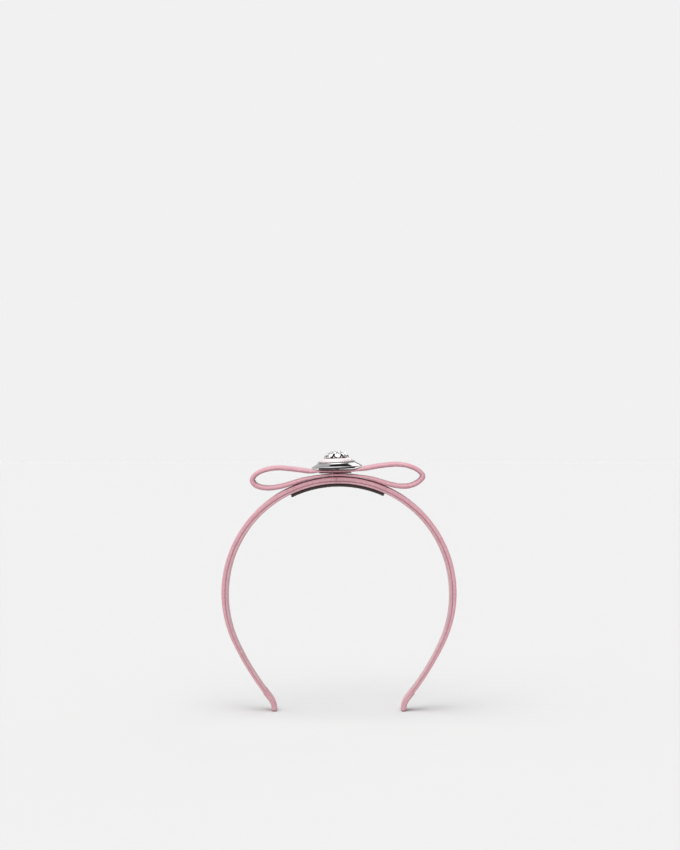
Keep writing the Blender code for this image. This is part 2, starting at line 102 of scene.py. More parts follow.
STRAP_HALF_WIDTH = 9.0 * MM
STRAP_PRESSED = 0.75 * MM
STRAP_HALF_THICKNESS = 1.45 * MM
STRAP_LOWER_PRESS = (8.0 * MM, 32.0 * MM)
STRAP_UPPER_PRESS = (10.0 * MM, 18.0 * MM)
STRAP_LOWER_TOP = 3.8 * MM
STRAP_SEAT = 28.0 * MM
STRAP_JOINT = -3.9 * MM
STRAP_JOINT_GAP = 0.15 * MM
STRAP_GAP = 0.15 * MM
STAY_X = -2.2 * MM
STAY_LENGTH = 19.4 * MM
STAY_HALF_WIDTH = 8.0 * MM
STAY_THICKNESS = 0.5 * MM
STAY_LEAN = 0.016
RIGHT_LOOP = (
    (36.2, -3.8), (42.2, -3.6), (47.2, -1.6), (50.4, 2.0), (47.8, 5.6), (42.4, 8.2),
    (36.0, 9.25), (30.0, 9.05), (24.0, 8.35), (18.3, 7.3), (12.0, 6.2), (8.0, 5.55),
)
LEFT_LOOP = (
    (-11.5, 5.1), (-17.5, 5.1), (-24.0, 5.95), (-30.0, 6.65), (-36.0, 7.08), (-41.5, 6.6),
    (-47.0, 5.0), (-50.8, 2.5), (-52.1, -0.6), (-49.4, -3.7), (-43.0, -5.0), (-36.0, -4.2),
)
TACK_STAND_OFF = 0.4 * MM
TACK_STRANDS = (-0.15, 0.0, 0.15)
TACK_RADIUS = 0.1 * MM

MEDALLION_X = -1.2 * MM
MEDALLION_LIFT = 6.5 * MM
MEDALLION_TILT = math.radians(-2.7)
TRAY_TOP = 3.7 * MM
BEAD_RING_RADIUS = 10.8 * MM
BEAD_RADIUS = 0.5 * MM
BEAD_COUNT = 56
POST_S = MEDALLION_X
POST_HOLE = 1.6 * MM
NOTCH_RUN = 9.0 * MM
WASHER_HOLE_IN_LINING = 3.1 * MM

# Profiles of (radius, height) in millimetres, turned about the medallion's axis.
TRAY_PROFILE = (
    (10.0, 3.7), (11.55, 3.7), (11.9, 3.5), (12.02, 3.2), (12.25, 3.12), (13.7, 2.36), (14.9, 1.66),
    (15.22, 1.45), (15.3, 1.24), (15.18, 1.02), (14.7, 0.92), (13.4, 0.84), (12.2, 0.8), (11.1, 0.76),
    (11.0, 0.6), (11.0, 0.05), (10.9, 0.0), (1.6, 0.0), (1.6, 0.8), (10.0, 0.8),
)
ENAMEL_PROFILE = (
    (4.4, 5.66), (6.75, 5.66), (6.9, 6.3), (7.3, 6.45), (8.1, 6.25), (8.9, 5.75), (9.4, 5.1), (9.68, 4.5),
    (9.78, 4.0), (9.78, 0.95), (4.4, 0.95),
)
GROUND_PROFILE = (
    (0.6, 9.3), (2.6, 9.0), (4.6, 8.0), (5.9, 6.8), (6.5, 6.0), (6.5, 5.82), (4.05, 5.82), (4.05, 1.95),
    (3.3, 1.95), (3.3, 6.9), (0.6, 8.3),
)

# The rosette, in millimetres: spines of (radius, height) and half widths along them.
LEAF_COUNT = 8
LEAF_SPINE = ((2.3, 9.25), (3.7, 9.55), (5.2, 9.25), (6.3, 8.5), (6.95, 7.6), (7.2, 7.05), (6.95, 6.8))
LEAF_WIDTHS = (0.7, 1.25, 1.75, 2.0, 1.6, 0.9, 0.35)
CURL_SPINE = ((1.1, 9.5), (1.9, 10.25), (2.9, 10.45), (3.8, 10.0), (4.1, 9.3), (3.7, 8.95), (3.3, 9.15))
CURL_WIDTHS = (0.4, 0.62, 0.82, 0.85, 0.7, 0.5, 0.3)
BERRY_PLACE, BERRY_RADIUS = (6.25, 6.95), 0.5
BOSS_HEIGHT, BOSS_RADIUS = 9.85, 1.02
GRAIN_COUNT = 10
GRAIN_PLACE, GRAIN_RADIUS = (1.5, 9.95), 0.34

CAMERA_PLACE = (0.0006, -1.306, 0.1719)
CAMERA_LENS = 91.76
FLOOR_HALF = 9.0
FLOOR_DROP = 0.02 * MM

# Light that the background shows, and the floor's own grey that shows the same under these lights.
PAPER = 0.8796
FLOOR_ALBEDO = 0.5225


# ---- node materials ----

def feed(tree, value, socket):
    """Links a node's output to an input, or sets the input."""
    if isinstance(value, bpy.types.NodeSocket):
        tree.links.new(value, socket)
    else:
        socket.default_value = value


def add_node(tree, kind, links=None, **settings):
    made = tree.nodes.new(kind)
    for key, value in settings.items():
        setattr(made, key, value)
    for socket, value in (links or {}).items():
        feed(tree, value, made.inputs[socket])
    return made


def bare_tree(owner):
    """An empty node tree for a material or a world."""
    owner.use_nodes = True
    owner.node_tree.nodes.clear()
    return owner.node_tree


class Graph:
    """A material's node tree with short ways to add and link nodes."""

    def __init__(self, name, base=(0.8, 0.8, 0.8), **constants):
        self.material = bpy.data.materials.new(name)
        self.material.use_nodes = True
        self.material.diffuse_color = (*base, 1.0)
        self.tree = self.material.node_tree
        self.shader = self.tree.nodes["Principled BSDF"]
        self.shader.inputs["Base Color"].default_value = (*base, 1.0)
        for socket, value in constants.items():
            self.shader.inputs[socket.replace("_", " ")].default_value = value

    def node(self, kind, links=None, **settings):
        return add_node(self.tree, kind, links, **settings)

    def feed(self, value, socket):
        feed(self.tree, value, socket)

    def drive(self, name, value):
        self.feed(value, self.shader.inputs[name])

    def times(self, a, b):
        return self.node("ShaderNodeMath", {0: a, 1: b}, operation="MULTIPLY").outputs[0]

    def plus(self, a, b):
        return self.node("ShaderNodeMath", {0: a, 1: b}, operation="ADD").outputs[0]

    def mix(self, factor, a, b):
        """Mixes two colours."""
        made = self.node("ShaderNodeMix", {"Factor": factor}, data_type="RGBA")
        for name, colour in (("A", a), ("B", b)):
            self.feed(colour, [s for s in made.inputs if s.name == name and s.type == "RGBA"][0])
        return [s for s in made.outputs if s.type == "RGBA"][0]

    def ramp(self, value, low, high, to_low=0.0, to_high=1.0):
        return self.node(
            "ShaderNodeMapRange",
            {"Value": value, "From Min": low, "From Max": high, "To Min": to_low, "To Max": to_high},
            interpolation_type="SMOOTHSTEP",
        ).outputs[0]

    def uv_mm(self, scale=(1.0, 1.0, 1.0)):
        """UV coordinates, which hold millimetres over the cloth, scaled along and across."""
        uv = self.node("ShaderNodeUVMap", uv_map="cloth").outputs[0]
        return self.node("ShaderNodeMapping", {"Vector": uv, "Scale": scale}).outputs[0]

    def noise(self, vector, scale, detail=2.0, roughness=0.5):
        return self.node(
            "ShaderNodeTexNoise",
            {"Vector": vector, "Scale": scale, "Detail": detail, "Roughness": roughness},
        ).outputs["Fac"]

    def attribute(self, name):
        return self.node("ShaderNodeAttribute", attribute_name=name).outputs["Fac"]

    def bump(self, height, distance, strength=1.0, normal=None):
        made = self.node("ShaderNodeBump", {"Height": height, "Distance": distance, "Strength": strength})
        if normal is not None:
            self.feed(normal, made.inputs["Normal"])
        return made.outputs[0]


def rgba(colour, gain=1.0):
    return tuple(c * gain for c in colour) + (1.0,)


def satin(name, colour, roughness=0.36, sheen=0.25, thread=0.17, shade=1.8 * MM):
    """Satin cloth: long floats along the strip, streaks, faint colour change and worn folds.

    Within the distance called shade of other cloth, painted shade deepens the colour to a dark red.
    """
    g = Graph(
        name, colour, Sheen_Weight=sheen, Sheen_Roughness=0.32, Sheen_Tint=(1.0, 0.86, 0.88, 1.0),
        Specular_IOR_Level=0.42,
    )
    uv = g.uv_mm()
    floats = g.node(
        "ShaderNodeTexBrick",
        {
            "Vector": uv, "Scale": 1.0, "Mortar Size": 0.16 * thread, "Mortar Smooth": 1.0,
            "Bias": 0.0, "Brick Width": 6.5 * thread, "Row Height": thread,
            "Color1": rgba(colour, 1.05), "Color2": rgba(colour, 0.93), "Mortar": rgba(colour, 0.74),
        },
        offset=0.4, offset_frequency=2,
    )
    clouds = g.noise(g.uv_mm((0.22, 0.22, 1.0)), 1.0, 2.0)
    streaks = g.noise(g.uv_mm((0.07, 2.6, 1.0)), 1.0, 2.0)
    deep = rgba((colour[0] * 0.86, colour[1] * 0.74, colour[2] * 0.78))
    tinted = g.mix(g.ramp(clouds, 0.25, 0.75, 0.0, 0.34), floats.outputs["Color"], deep)
    tinted = g.mix(g.ramp(streaks, 0.45, 0.8, 0.0, 0.22), tinted, rgba(colour, 1.16))
    # Painted shade: ambient occlusion within the shade distance turns the colour dark red in gaps and
    # creases between cloth.
    open_sky = g.node("ShaderNodeAmbientOcclusion", {"Distance": shade}, samples=8).outputs["AO"]
    painted_shade_colour = rgba((colour[0] * 0.60, colour[1] * 0.09, colour[2] * 0.16))
    tinted = g.mix(g.ramp(open_sky, 0.22, 0.82), painted_shade_colour, tinted)
    patches = g.ramp(g.noise(g.uv_mm((0.7, 0.7, 1.0)), 1.0, 3.0), 0.3, 0.8)
    worn = g.times(g.attribute("fold"), patches)
    tinted = g.mix(g.times(worn, 0.3), tinted, rgba((0.66, 0.50, 0.52)))
    g.drive("Base Color", tinted)
    rough = g.ramp(streaks, 0.2, 0.8, roughness - 0.06, roughness + 0.08)
    g.drive("Roughness", g.plus(rough, g.times(worn, 0.16)))
    large = g.bump(g.noise(g.uv_mm((0.16, 0.42, 1.0)), 1.0, 2.0), 0.05 * MM)
    g.drive("Normal", g.bump(floats.outputs["Fac"], -0.012 * MM, 0.8, large))
    return g.material


def napped(name, low, high, roughness, nap=0.04):
    """Short dark pile or backing cloth."""
    g = Graph(name, low, Sheen_Weight=0.5, Sheen_Roughness=0.5, Sheen_Tint=(0.9, 0.82, 0.8, 1.0),
              Specular_IOR_Level=0.25)
    pile = g.noise(g.uv_mm((4.5, 4.5, 1.0)), 1.0, 3.0, 0.6)
    clouds = g.noise(g.uv_mm((0.4, 0.4, 1.0)), 1.0, 2.0)
    mixed = g.plus(g.times(pile, 0.7), g.times(clouds, 0.3))
    g.drive("Base Color", g.mix(g.ramp(mixed, 0.3, 0.7), rgba(low), rgba(high)))
    g.drive("Roughness", g.ramp(pile, 0.2, 0.8, roughness - 0.08, roughness + 0.08))
    g.drive("Normal", g.bump(pile, nap * MM))
    return g.material


def thread_finish(name, colour):
    """Twisted sewing thread."""
    g = Graph(name, colour, Sheen_Weight=0.3, Sheen_Roughness=0.3, Specular_IOR_Level=0.4)
    uv = g.uv_mm()
    ply = g.node(
        "ShaderNodeTexWave",
        {"Vector": uv, "Scale": 1.1, "Distortion": 0.3, "Detail": 1.0},
        wave_type="BANDS", bands_direction="DIAGONAL",
    ).outputs["Fac"]
    g.drive("Base Color", g.mix(ply, rgba(colour, 0.7), rgba(colour, 1.12)))
    g.drive("Roughness", g.ramp(ply, 0.0, 1.0, 0.6, 0.42))
    g.drive("Normal", g.bump(ply, 0.02 * MM))
    return g.material


def metal(name, colour, roughness=0.07, lines=0.0, painted_shade_strength=0.0):
    """Polished metal with hairline marks and faint smears; painted shade turns it near black and rougher
    where its painted_shade mark is high.
    """
    g = Graph(name, colour, Metallic=1.0)
    smears = g.noise(g.uv_mm((0.35, 0.35, 1.0)), 1.0, 3.0, 0.6)
    # Painted shade: the mark times its strength mixes in near black and adds roughness.
    painted_shade_mask = g.times(g.attribute("painted_shade"), painted_shade_strength)
    base = g.mix(g.ramp(smears, 0.3, 0.8, 0.0, 0.25), rgba(colour), rgba(colour, 0.86))
    g.drive("Base Color", g.mix(painted_shade_mask, base, rgba((0.05, 0.045, 0.045))))
    rough = g.ramp(smears, 0.25, 0.8, roughness, roughness + 0.09)
    g.drive("Roughness", g.plus(rough, g.times(painted_shade_mask, 0.4)))
    if lines:
        hairs = g.noise(g.uv_mm((0.25, 9.0, 1.0)), 1.0, 2.0)
        g.drive("Normal", g.bump(hairs, lines * MM, 0.5))
    return g.material


def enamel_finish():
    light, deep = rgba((0.76, 0.59, 0.61)), rgba((0.70, 0.52, 0.55))
    g = Graph(
        "enamel_pale_pink", (0.74, 0.56, 0.585), Coat_Weight=1.0, Coat_Roughness=0.04, Coat_IOR=1.5,
        Specular_IOR_Level=0.5,
    )
    clouds = g.noise(g.uv_mm((0.3, 0.3, 1.0)), 1.0, 3.0)
    ripple = g.noise(g.uv_mm((0.5, 0.5, 1.0)), 1.0, 1.0)
    g.drive("Base Color", g.mix(g.ramp(clouds, 0.25, 0.75), light, deep))
    g.drive("Roughness", g.ramp(clouds, 0.2, 0.8, 0.16, 0.26))
    g.drive("Normal", g.bump(ripple, 0.02 * MM))
    return g.material


def foam_finish(name, colour, cell=1.6):
    g = Graph(name, colour, Roughness=0.9)
    cells = g.node("ShaderNodeTexVoronoi", {"Vector": g.uv_mm(), "Scale": cell}).outputs["Distance"]
    g.drive("Base Color", g.mix(cells, rgba(colour, 0.86), rgba(colour, 1.05)))
    g.drive("Normal", g.bump(cells, 0.05 * MM))
    return g.material


def spring_steel():
    g = Graph("spring_steel", (0.45, 0.46, 0.48), Metallic=1.0)
    grain = g.noise(g.uv_mm((0.2, 8.0, 1.0)), 1.0, 3.0)
    g.drive("Base Color", g.mix(grain, rgba((0.40, 0.41, 0.43)), rgba((0.55, 0.56, 0.58))))
    g.drive("Roughness", g.ramp(grain, 0.2, 0.8, 0.28, 0.42))
    g.drive("Normal", g.bump(grain, 0.01 * MM))
    return g.material


PINK = (0.50, 0.252, 0.293)
FINISH = {
    "cover": satin("pink_satin_cover", PINK),
    "wrap": satin("pink_satin_wrap", (0.475, 0.245, 0.28), roughness=0.40),
    "strap": satin("pink_satin_strap", PINK, roughness=0.34, shade=3.6 * MM),
    "lining": satin("pink_satin_lining", (0.455, 0.245, 0.275), roughness=0.42, thread=0.15),
    # The stay's deep red is painted shade for its place between the strands; the other satin is pink.
    "stay": satin("pink_satin_stay_painted_shade", (0.30, 0.07, 0.11), roughness=0.46, sheen=0.1, shade=4.0 * MM),
    "thread": thread_finish("pink_thread", (0.52, 0.30, 0.34)),
    "grip": napped("grip_pile", (0.030, 0.018, 0.018), (0.060, 0.042, 0.042), 0.78),
    "grip_backing": napped("grip_backing_cloth", (0.010, 0.003, 0.004), (0.022, 0.010, 0.011), 0.85,
                           nap=0.02),
    # The tray, beads and leaves carry painted shade, with its strength given last.
    "tray": metal("polished_tray", (0.42, 0.415, 0.42), 0.06, lines=0.002, painted_shade_strength=0.96),
    "beads": metal("polished_beads", (0.50, 0.49, 0.49), 0.12, painted_shade_strength=0.95),
    "leaves": metal("polished_leaves", (0.66, 0.66, 0.67), 0.09, painted_shade_strength=0.9),
    "ground": metal("dulled_ground", (0.16, 0.155, 0.155), 0.34),
    "rivet": metal("rivet_metal", (0.6, 0.6, 0.61), 0.18),
    "enamel": enamel_finish(),
    "foam": foam_finish("pale_foam", (0.84, 0.80, 0.76)),
    "stiffener": foam_finish("interlining", (0.80, 0.77, 0.75), cell=2.8),
    "steel": spring_steel(),
}


# ---- meshes ----

def smoothstep(t):
    t = min(1.0, max(0.0, t))
    return t * t * (3.0 - 2.0 * t)


def mixed(a, b, t):
    return a + (b - a) * t


def upright(x, z):
    """A point or direction in the band's middle plane."""
    return Vector((x, 0.0, z))


def wander(*where):
    """Smooth repeatable noise from -1 to 1."""
    return noise.noise(Vector((*where, 0.0, 0.0)[:3]))


def new_object(name, data):
    obj = bpy.data.objects.new(name, data)
    bpy.context.scene.collection.objects.link(obj)
    return obj


def add_mesh(name, points, faces, corners, finish, marks=None):
    """A smooth mesh object. It has cloth UVs in millimetres for each face corner, and point marks."""
    mesh = bpy.data.meshes.new(name)
    mesh.from_pydata([tuple(p) for p in points], [], faces)
    layer = mesh.uv_layers.new(name="cloth")
    flat = [value for face in corners for pair in face for value in pair]
    layer.data.foreach_set("uv", np.array(flat, np.float32) / MM)
    for key, values in (marks or {}).items():
        attribute = mesh.attributes.new(key, "FLOAT", "POINT")
        attribute.data.foreach_set("value", np.array(values, np.float32))
    mesh.materials.append(FINISH[finish])
    mesh.shade_smooth()
    return new_object(name, mesh)


def grid(name, rows, finish, outward, closed=False, looped=False, caps=(), marks=None):
    """A surface through rows of points.

    outward is (row, column, way): the face there is turned to point that way. The column None is the
    middle one. closed joins the last column to the first, looped joins the last row to the first, and
    caps lists which of the end rows (0 and -1) are filled.
    """
    rows = np.asarray([[tuple(p) for p in row] for row in rows], float)
    m, n = rows.shape[:2]
    across = np.zeros((m, n + 1))
    wrapped = np.concatenate([rows, rows[:, :1]], axis=1)
    across[:, 1:] = np.cumsum(np.linalg.norm(np.diff(wrapped, axis=1), axis=2), axis=1)
    steps = np.linalg.norm(np.diff(rows, axis=0), axis=2).mean(axis=1)
    along = np.concatenate([[0.0], np.cumsum(steps)])
    if looped:
        along = np.append(along, along[-1] + np.linalg.norm(rows[0] - rows[-1], axis=1).mean())
    faces, corners = [], []
    for i in range(m if looped else m - 1):
        i2 = (i + 1) % m
        for j in range(n if closed else n - 1):
            k = (j + 1) % n
            faces.append((i * n + j, i2 * n + j, i2 * n + k, i * n + k))
            corners.append((
                (along[i], across[i, j]), (along[i + 1], across[i2, j]),
                (along[i + 1], across[i2, j + 1]), (along[i], across[i, j + 1]),
            ))
    for cap in caps:
        i = cap % m
        ring = [i * n + j for j in range(n)]
        pairs = [(along[i] + rows[i, j, 0], across[i, j]) for j in range(n)]
        turn = 1 if i == 0 else -1
        faces.append(tuple(ring[::turn]))
        corners.append(tuple(pairs[::turn]))
    i, j, way = outward
    j = n // 2 - 1 if j is None else j
    a, b, c = rows[i, j], rows[(i + 1) % m, j], rows[i, (j + 1) % n]
    if np.dot(np.cross(b - a, c - a), np.asarray(way, float)) < 0:
        faces = [face[::-1] for face in faces]
        corners = [face[::-1] for face in corners]
    return add_mesh(name, rows.reshape(-1, 3), faces, corners, finish, marks)


def stand_in(obj, body, node):
    """Puts a piece on a body in place of a CAD node."""
    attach(obj, body)
    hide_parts(node)


def thicken(obj, thickness=CLOTH):
    """Gives cloth its thickness, inwards."""
    shell = obj.modifiers.new("cloth", "SOLIDIFY")
    shell.thickness = thickness
    shell.offset = -1.0
    shell.use_even_offset = True


def settle(obj):
    """Turns an object's modifiers into its own mesh."""
    depsgraph = bpy.context.evaluated_depsgraph_get()
    mesh = bpy.data.meshes.new_from_object(obj.evaluated_get(depsgraph), depsgraph=depsgraph)
    obj.modifiers.clear()
    obj.data = mesh


def pierce(obj, cutter):
    """Cuts the rivet's hole."""
    hole = obj.modifiers.new("hole", "BOOLEAN")
    hole.operation = "DIFFERENCE"
    hole.solver = "EXACT"
    hole.object = cutter
    settle(obj)


def join(objects, name):
    """Joins pieces with one material into one mesh."""
    bm = bmesh.new()
    for obj in objects:
        obj.data.transform(obj.matrix_world)
        bm.from_mesh(obj.data)
    mesh = bpy.data.meshes.new(name)
    bm.to_mesh(mesh)
    bm.free()
    mesh.materials.append(objects[0].data.materials[0])
    for obj in objects:
        bpy.data.objects.remove(obj)
    return new_object(name, mesh)


def tube(name, path, radius, finish, sides=8):
    """A round thread along a path, with its ends closed."""
    rows = []
    side = None
    for i, point in enumerate(path):
        along = (path[min(i + 1, len(path) - 1)] - path[max(i - 1, 0)]).normalized()
        side = (side if side is not None else along.orthogonal())
        side = (side - along * side.dot(along)).normalized()
        other = along.cross(side)
        rows.append([
            point + radius * (side * math.cos(a) + other * math.sin(a))
            for a in (math.tau * k / sides for k in range(sides))
        ])
    return grid(name, rows, finish, (0, 0, rows[0][0] - path[0]), closed=True, caps=(0, -1))


# ---- the band's line ----

def band_arcs():
    leg = CROWN_TURN + LEG_TURN
    return (
        (CROWN_RADIUS, 0.0, CROWN_TURN),
        (LEG_RADIUS, CROWN_TURN, leg),
        (-TOE_RADIUS, leg, math.pi / 2),
    )


BAND_LENGTH = sum(radius * (end - start) for radius, start, end in band_arcs())
CROWN_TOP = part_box("crown_satin_cover")[1].z - BAND_HALF_THICKNESS


def band_at(s):
    """(point, normal) of the band's centreline at arc length s; negative s is the left side."""
    side = 1.0 if s >= 0.0 else -1.0
    rest = abs(s)
    x = z = heading = 0.0
    for radius, start, end in band_arcs():
        length = radius * (end - start)
        heading = end if rest > length else start + rest / radius
        x += radius * (math.sin(heading) - math.sin(start))
        z += radius * (math.cos(heading) - math.cos(start))
        if rest <= length:
            break
        rest -= length
    normal = upright(side * math.sin(heading), math.cos(heading))
    return upright(side * x, CROWN_TOP + z), normal


def band_half_sizes(s):
    """Half width and half thickness; the band is tucked a little thinner inside the end wraps."""
    taper = smoothstep((abs(s) - FLEX_S) / (BAND_LENGTH - WRAP_LENGTH - FLEX_S))
    thinning = smoothstep((abs(s) - THINNING[0]) / (THINNING[1] - THINNING[0]))
    tuck = TIP_TUCK * smoothstep((abs(s) - BAND_LENGTH + WRAP_LENGTH + 2.5 * MM) / (4.0 * MM))
    return (
        mixed(BAND_HALF_WIDTH, TIP_HALF_WIDTH, taper),
        mixed(BAND_HALF_THICKNESS, TIP_HALF_THICKNESS, thinning) - tuck,
    )


def seam_level(s, h):
    """Where the cover meets the lining on the edge: low on the crown, halfway up on the legs."""
    return h * mixed(-0.38, -0.18, smoothstep((abs(s) - 22.0 * MM) / (58.0 * MM)))


def mirrored(half):
    """A front half of (y, n) points, and the same points at +y in reverse."""
    return [(-y, n) for y, n in half] + [(y, n) for y, n in reversed(half)]


def arc(cy, cn, a, b, start, end, count, power=1.0):
    """Points of an ellipse between two angles in degrees; a power under 1 makes it squarer."""
    points = []
    for i in range(count):
        t = math.radians(mixed(start, end, i / (count - 1)))
        across, up = math.cos(t), math.sin(t)
        across = math.copysign(abs(across) ** power, across)
        points.append((cy + a * across, cn + b * math.copysign(abs(up) ** power, up)))
    return points


def cover_path(s):
    w, h = band_half_sizes(s)
    g = seam_level(s, h) + 0.035 * MM * wander(s / MM * 0.31, 4.2)
    edge = h - TOP_DROP
    b = (edge - g) / 2
    a = 0.95 * b + 0.04 * MM * wander(s / MM * 0.23, 9.1)
    hem = -h + 0.5 * MM
    inner = w - a
    half = [
        (w - HEM_WIDTH, hem), (w - 3.2 * MM, hem), (w - 2.25 * MM, hem), (w - 2.0 * MM, hem + 0.08 * MM),
        (w - 1.92 * MM, (g + hem) / 2), (w - 1.85 * MM, g - 0.08 * MM), (w - 1.7 * MM, g),
    ]
    middle = (edge + g) / 2
    half += arc(inner, middle, a, b, -80.0, 0.0, 9, 0.5)
    half += arc(inner, middle, a, b, 0.0, 90.0, 10, 0.74)[1:]
    for t in (0.86, 0.7, 0.5, 0.3, 0.1):
        y = inner * t
        pad = 0.03 * MM * wander(s / MM * 0.12, y / MM * 0.3, 2.0)
        half.append((y, h - TOP_DROP * t * t + pad * (1.0 - t) - 0.03 * MM))
    return mirrored(half)


def lining_path(s):
    w, h = band_half_sizes(s)
    g = seam_level(s, h) - 0.05 * MM + 0.02 * MM * wander(s / MM * 0.37, 1.7)
    b = (g + h) / 2
    a = min(0.62 * MM, b)
    out = w - 0.08 * MM - a
    half = [(w - 1.6 * MM, g - 0.1 * MM), (w - 1.2 * MM, g - 0.04 * MM)]
    half += arc(out, g - b, a, b, 80.0, -90.0, 13, 0.5)
    half += [(out * t, -h) for t in (0.8, 0.5, 0.2)]
    return mirrored(half)


def core_path(s):
    w, h = band_half_sizes(s)
    bottom = -h + 1.0 * MM
    top = bottom + CORE_THICKNESS
    w -= CORE_INSET
    e = 0.2 * MM
    return mirrored([(w - e, bottom), (w, bottom + e), (w, top - e), (w - e, top)])


def padding_path(s):
    w, h = band_half_sizes(s)
    bottom = -h + 1.05 * MM
    roof = -h + 1.0 * MM + CORE_THICKNESS + LAYER_GAP
    channel = w - CORE_INSET + LAYER_GAP
    top = h - CLOTH - 0.16 * MM
    low = max(roof, seam_level(s, h) + 0.62 * MM)
    return mirrored([
        (channel, roof), (channel, bottom), (w - 2.45 * MM, bottom), (w - 2.45 * MM, low),
        (w - 1.9 * MM, low + 0.05 * MM), (w - 2.2 * MM, top - 0.16 * MM), (0.5 * w, top - 0.06 * MM),
        (0.2 * w, top),
    ])


def half_strip(name, side, path, finish, hole, closed=False, reach=BAND_LENGTH - 0.8 * MM, step=1.0 * MM,
               caps=(), folds=False):
    """A strip of the band from the rivet to one tip, with half of the rivet's hole at its start."""
    length = reach - side * POST_S
    count = int(round(length / step))
    rows, marks = [], []
    for i in range(count + 1):
        t = length * i / count
        section = path(POST_S + side * t)
        row = []
        for y, n in section:
            room = math.sqrt(max(0.0, hole * hole - y * y))
            t_here = room + t * (NOTCH_RUN - room) / NOTCH_RUN if t < NOTCH_RUN else t
            point, normal = band_at(POST_S + side * t_here)
            row.append(point + Y_AXIS * y + normal * n)
        rows.append(row)
        if folds:
            marks += fold_marks(section)
    way = band_at(POST_S + side * step)[1]
    if section[len(section) // 2][1] < 0:
        way = -way
    return grid(name, rows, finish, (1, None, way), closed=closed, caps=caps,
                marks={"fold": marks} if folds else None)


def fold_marks(section):
    """How much of a fold each point of a section is: the rounded edges of the strip."""
    w = max(abs(y) for y, _n in section)
    return [smoothstep((abs(y) - w + 0.5 * MM) / (0.45 * MM)) for y, _n in section]


def bend(obj, label):
    """Bakes the object's transform into its mesh; the points at the flex zone's ends are looked up but not
    used.
    """
    sign = -1.0 if label == "left" else 1.0
    start, _ = band_at(sign * BEND_START)
    end, _ = band_at(sign * BEND_END)
    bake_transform(obj)


def make_band():
    for label, side in SIDES:
        arm = f"{label}_arm"
        cover = half_strip(f"satin_cover_{label}", side, cover_path, "cover", POST_HOLE, folds=True)
        thicken(cover)
        bend(cover, label)
        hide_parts(f"{arm}_satin_cover", "crown_satin_cover")

        lining = half_strip(f"satin_lining_{label}", side, lining_path, "lining", WASHER_HOLE_IN_LINING,
                            folds=True)
        thicken(lining)
        bend(lining, label)
        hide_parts(f"{arm}_lining", "crown_lining")

        padding = half_strip(f"foam_padding_{label}", side, padding_path, "foam", POST_HOLE, closed=True,
                             caps=(0, -1), step=2.0 * MM, reach=BAND_LENGTH - WRAP_LENGTH - 2.5 * MM)
        bend(padding, label)
        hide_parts(f"{arm}_padding", "crown_padding")

        core = half_strip(f"steel_core_{label}", side, core_path, "steel", POST_HOLE, closed=True,
                          caps=(0, -1), step=2.0 * MM, reach=BAND_LENGTH - 1.6 * MM)
        core.data.set_sharp_from_angle(angle=math.radians(35.0))
        bend(core, label)
        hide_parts(f"{arm}_core", "crown_core")


def make_seam_stitches():
    """Slip stitches that close the edge seam between cover and lining, front and back."""
    for label, side in SIDES:
        stitches = []
        for front in (-1.0, 1.0):
            s = 3.0 * MM
            k = 0
            while s < BAND_LENGTH - WRAP_LENGTH - MM:
                w, h = band_half_sizes(s)
                level = seam_level(s, h)
                lean = 0.35 * MM * (1.0 + 0.3 * wander(k * 1.7, front))
                path = []
                for t in (-1.0, -0.5, 0.0, 0.5, 1.0):
                    point, normal = band_at(side * (s + lean * t * 0.5))
                    y = front * (w - 0.62 * MM + 0.1 * MM * (1.0 - t * t))
                    path.append(point + Y_AXIS * y + normal * (level - 0.03 * MM + 0.30 * MM * t))
                stitches.append(tube("stitch", path, STITCH_RADIUS, "thread", sides=6))
                s += STITCH_STEP + 0.5 * MM * wander(k * 2.3, 7.0)
                k += 1
        made = join(stitches, f"seam_stitches_{label}")
        bend(made, label)


def wrap_section(s):
    """The wrap's outline, with a soft crease down each edge that fades towards the tip."""
    w, h = band_half_sizes(s)
    w += WRAP_ROOM
    h += WRAP_ROOM
    down = BAND_LENGTH - abs(s)
    fade = smoothstep(down / (6.0 * MM))
    level = seam_level(s, h) * 0.8
    face = w - WRAP_EDGE
    half = [(t * face, -h) for t in (0.25, 0.6, 0.9)]
    for i in range(25):
        t = math.radians(mixed(-90.0, 90.0, i / 24))
        y = face + WRAP_EDGE * math.cos(t) ** 0.8 if math.cos(t) > 0 else face
        n = h * math.copysign(abs(math.sin(t)) ** 0.85, math.sin(t))
        dent = WRAP_CREASE * fade * math.exp(-((n - level) / WRAP_CREASE_REACH) ** 2)
        half.append((y - dent, n))
    half += [(t * face, h) for t in (0.9, 0.6, 0.25)]
    return mirrored(half)


